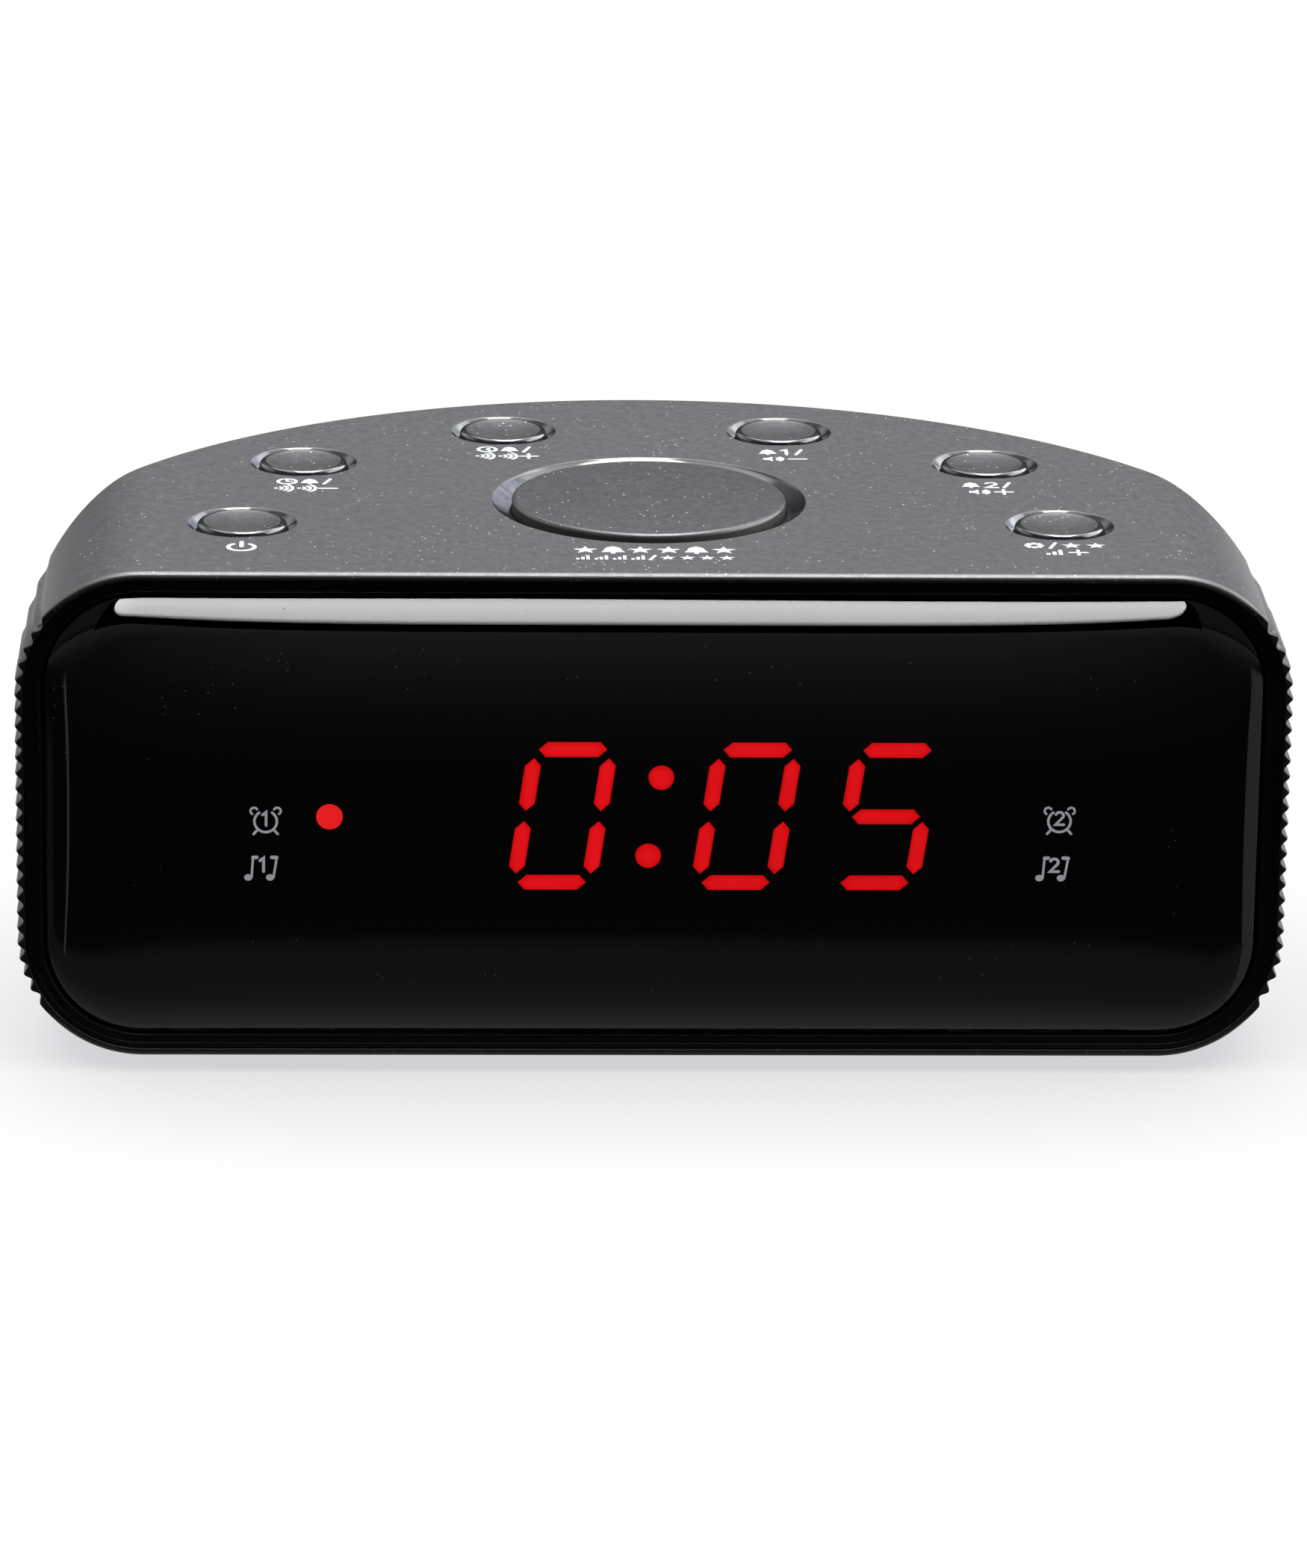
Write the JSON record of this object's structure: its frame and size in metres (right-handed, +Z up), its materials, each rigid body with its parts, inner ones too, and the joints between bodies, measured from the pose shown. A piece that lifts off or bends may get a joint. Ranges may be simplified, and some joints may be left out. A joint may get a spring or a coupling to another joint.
{
  "type": "clock radio",
  "caption": "Half-round bedside clock radio with a smoked lens over a red LED display, round top keys, rubber feet and a mains cord.",
  "frame": {"origin": "centre of the cabinet footprint on its flat underside", "axes": "+Z up, -Y out of the display, +X to the viewer's right when facing the display"},
  "size_m": [0.15, 0.166, 0.0624],
  "materials": {
    "cabinet_shell": "satin graphite",
    "front_bezel": "satin black",
    "display_lens": "polished smoked",
    "bottom_cover": "fine texture",
    "battery_door": "fine texture",
    "rubber_feet": "matte",
    "snooze_button": "satin graphite",
    "power_button": "satin graphite",
    "hour_tune_down_button": "satin graphite",
    "minute_tune_up_button": "satin graphite",
    "alarm1_volume_down_button": "satin graphite",
    "alarm2_volume_up_button": "satin graphite",
    "set_memory_button": "satin graphite",
    "main_board": "bare laminate",
    "key_switch_housings": "moulded",
    "snooze_switch_plunger": "moulded",
    "power_switch_plunger": "moulded",
    "hour_switch_plunger": "moulded",
    "minute_switch_plunger": "moulded",
    "alarm1_switch_plunger": "moulded",
    "alarm2_switch_plunger": "moulded",
    "set_switch_plunger": "moulded",
    "display_board": "bare laminate",
    "led_display_housing": "moulded",
    "led_segments_lit": "lit red",
    "led_segments_unlit": "unlit red",
    "alarm_led_lit": "lit red",
    "indicator_leds_unlit": "unlit red",
    "clock_chip": "moulded",
    "radio_chip": "moulded",
    "electrolytic_capacitors": "sleeved",
    "quartz_crystal": "plated",
    "rectifier_diodes": "moulded",
    "tuning_coils": "enamelled copper",
    "display_ribbon": "grey ribbon",
    "transformer_core": "laminated iron",
    "transformer_bobbin": "moulded",
    "transformer_winding": "enamelled copper",
    "transformer_bracket": "plated",
    "speaker_frame": "pressed steel",
    "speaker_magnet": "ferrite",
    "speaker_yoke": "plated",
    "speaker_cone": "paper",
    "speaker_voice_coil": "enamelled copper",
    "speaker_dust_cap": "cloth",
    "speaker_surround": "soft",
    "battery_cells": "sleeved",
    "battery_contacts": "plated",
    "cabinet_screws": "black",
    "small_screws": "plated",
    "speaker_wires": "insulated",
    "transformer_leads": "insulated",
    "battery_wires": "insulated",
    "mains_cord": "satin black",
    "cord_grommet": "satin black",
    "cord_tie": "satin",
    "mains_plug": "satin black",
    "plug_pins": "nickel plated",
    "antenna_wire": "insulated",
    "rating_plate": "brushed, blank"
  },
  "bodies": {
    "cabinet": {"cabinet_shell": "cabinet_shell", "front_bezel": "front_bezel", "display_lens": "display_lens", "bottom_cover": "bottom_cover", "rubber_feet": "rubber_feet", "main_board": "main_board", "key_switch_housings": "key_switch_housings", "display_board": "display_board", "led_display_housing": "led_display_housing", "led_segments_lit": "led_segments_lit", "led_segments_unlit": "led_segments_unlit", "alarm_led_lit": "alarm_led_lit", "indicator_leds_unlit": "indicator_leds_unlit", "clock_chip": "clock_chip", "radio_chip": "radio_chip", "electrolytic_capacitors": "electrolytic_capacitors", "quartz_crystal": "quartz_crystal", "rectifier_diodes": "rectifier_diodes", "tuning_coils": "tuning_coils", "display_ribbon": "display_ribbon", "transformer_core": "transformer_core", "transformer_bobbin": "transformer_bobbin", "transformer_winding": "transformer_winding", "transformer_bracket": "transformer_bracket", "speaker_frame": "speaker_frame", "speaker_magnet": "speaker_magnet", "speaker_yoke": "speaker_yoke", "speaker_surround": "speaker_surround", "battery_cells": "battery_cells", "battery_contacts": "battery_contacts", "cabinet_screws": "cabinet_screws", "small_screws": "small_screws", "speaker_wires": "speaker_wires", "transformer_leads": "transformer_leads", "battery_wires": "battery_wires", "mains_cord": "mains_cord", "cord_grommet": "cord_grommet", "cord_tie": "cord_tie", "mains_plug": "mains_plug", "plug_pins": "plug_pins", "antenna_wire": "antenna_wire", "rating_plate": "rating_plate"},
    "power_key": {"power_button": "power_button", "power_switch_plunger": "power_switch_plunger"},
    "hour_key": {"hour_tune_down_button": "hour_tune_down_button", "hour_switch_plunger": "hour_switch_plunger"},
    "minute_key": {"minute_tune_up_button": "minute_tune_up_button", "minute_switch_plunger": "minute_switch_plunger"},
    "alarm1_key": {"alarm1_volume_down_button": "alarm1_volume_down_button", "alarm1_switch_plunger": "alarm1_switch_plunger"},
    "alarm2_key": {"alarm2_volume_up_button": "alarm2_volume_up_button", "alarm2_switch_plunger": "alarm2_switch_plunger"},
    "set_key": {"set_memory_button": "set_memory_button", "set_switch_plunger": "set_switch_plunger"},
    "snooze_key": {"snooze_button": "snooze_button", "snooze_switch_plunger": "snooze_switch_plunger"},
    "battery_door": {"battery_door": "battery_door"},
    "speaker_diaphragm": {"speaker_cone": "speaker_cone", "speaker_voice_coil": "speaker_voice_coil", "speaker_dust_cap": "speaker_dust_cap"}
  },
  "joints": [
    {"name": "power_press", "type": "slide", "parent": "cabinet", "child": "power_key", "axis": [0, 0, -1], "range_m": [0, 0.0005], "stiffness_N_per_m": 150, "springref_m": -0.004},
    {"name": "hour_press", "type": "slide", "parent": "cabinet", "child": "hour_key", "axis": [0, 0, -1], "range_m": [0, 0.0005], "stiffness_N_per_m": 150, "springref_m": -0.004},
    {"name": "minute_press", "type": "slide", "parent": "cabinet", "child": "minute_key", "axis": [0, 0, -1], "range_m": [0, 0.0005], "stiffness_N_per_m": 150, "springref_m": -0.004},
    {"name": "alarm1_press", "type": "slide", "parent": "cabinet", "child": "alarm1_key", "axis": [0, 0, -1], "range_m": [0, 0.0005], "stiffness_N_per_m": 150, "springref_m": -0.004},
    {"name": "alarm2_press", "type": "slide", "parent": "cabinet", "child": "alarm2_key", "axis": [0, 0, -1], "range_m": [0, 0.0005], "stiffness_N_per_m": 150, "springref_m": -0.004},
    {"name": "set_press", "type": "slide", "parent": "cabinet", "child": "set_key", "axis": [0, 0, -1], "range_m": [0, 0.0005], "stiffness_N_per_m": 150, "springref_m": -0.004},
    {"name": "snooze_press", "type": "slide", "parent": "cabinet", "child": "snooze_key", "axis": [0, 0, -1], "range_m": [0, 0.0005], "stiffness_N_per_m": 220, "springref_m": -0.004},
    {"name": "battery_door_hinge", "type": "hinge", "parent": "cabinet", "child": "battery_door", "pos_m": [0.01885, -0.0028, 0], "axis": [1, 0, 0], "range_deg": [0, 75]},
    {"name": "speaker_diaphragm_travel", "type": "slide", "parent": "cabinet", "child": "speaker_diaphragm", "axis": [0, 0, 1], "range_m": [-0.0005, 0.0005], "stiffness_N_per_m": 1200, "deforming": ["speaker_surround"]}
  ]
}
